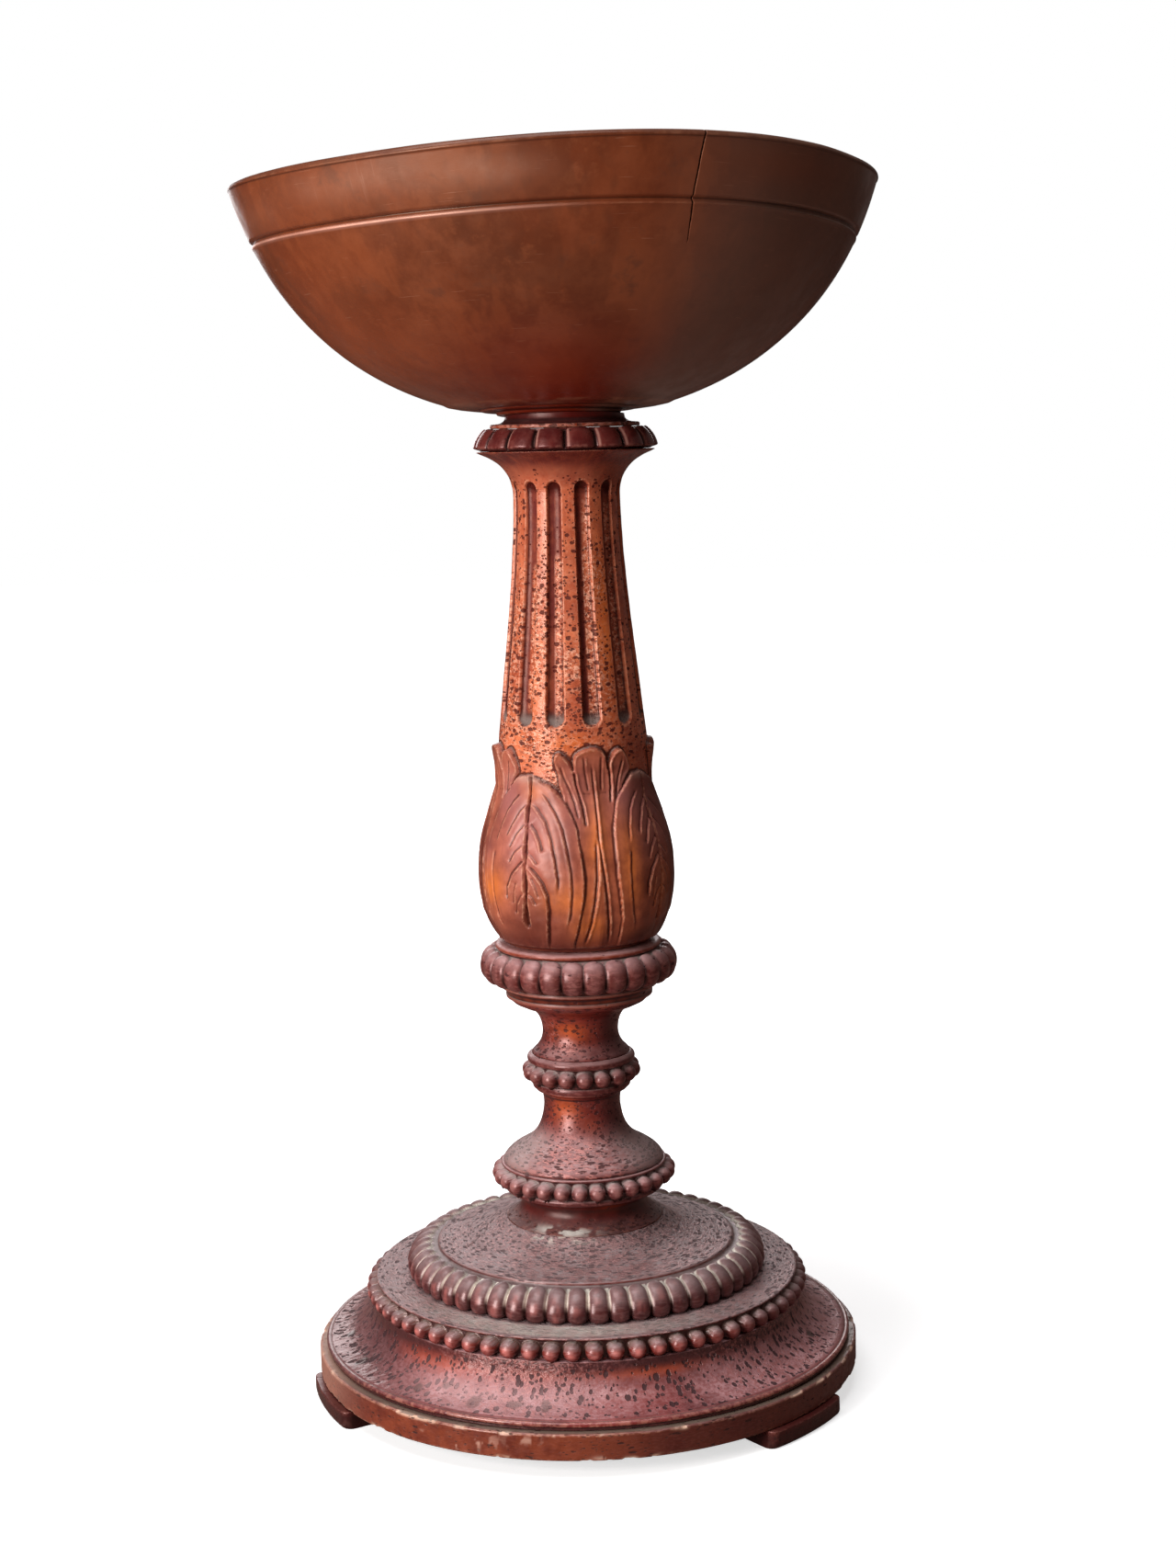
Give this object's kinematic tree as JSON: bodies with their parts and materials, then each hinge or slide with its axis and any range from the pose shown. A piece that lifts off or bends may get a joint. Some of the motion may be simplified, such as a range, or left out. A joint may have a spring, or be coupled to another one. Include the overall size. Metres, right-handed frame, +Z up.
{
  "type": "pedestal bowl",
  "caption": "Wide turned wooden bowl on a carved column with leaf bulb, fluted shaft, beaded and lobed rings and a stepped round base on block feet.",
  "frame": {"origin": "on the floor under the column's axis; the bowl leans a little, so the middle of the bounds is 4.5 mm to -X and 4.1 mm to +Y of it", "axes": "+Z up, -Y the front as pictured, +X to the right seen from the front"},
  "size_m": [0.519, 0.5158, 1.0052],
  "materials": {
    "feet": "dark stain, worn, chipped edges",
    "base": "dark red-brown varnish, dusty on its upward faces",
    "stem": "red-brown varnish with grey dust in the recesses",
    "column": "orange-brown crazed varnish, semi-gloss",
    "capital": "dark red-brown varnish, worn on the edges",
    "bowl": "dark brown satin lacquer",
    "bare_wood": "bare, sawn and glued",
    "screws": "plain steel, dull"
  },
  "bodies": {
    "root": {"foot_right": "feet", "foot_left": "feet", "foot_rear": "feet", "foot_right_screw_a": "screws", "foot_right_screw_b": "screws", "foot_left_screw_a": "screws", "foot_left_screw_b": "screws", "foot_rear_screw_a": "screws", "foot_rear_screw_b": "screws", "base_slab": "base", "slab_screw_1": "screws", "slab_screw_2": "screws", "slab_screw_3": "screws", "slab_screw_4": "screws", "cove_disc": "base", "middle_disc": "base", "upper_disc": "base", "neck": "stem", "beaded_disc": "stem", "lower_waist": "stem", "bead_collar": "stem", "upper_waist": "stem", "gadroon_collar": "stem", "column": "column", "capital_ring": "capital", "neck_cap": "capital", "bowl": "bowl", "bowl_dowel": "bare_wood"}
  },
  "joints": []
}
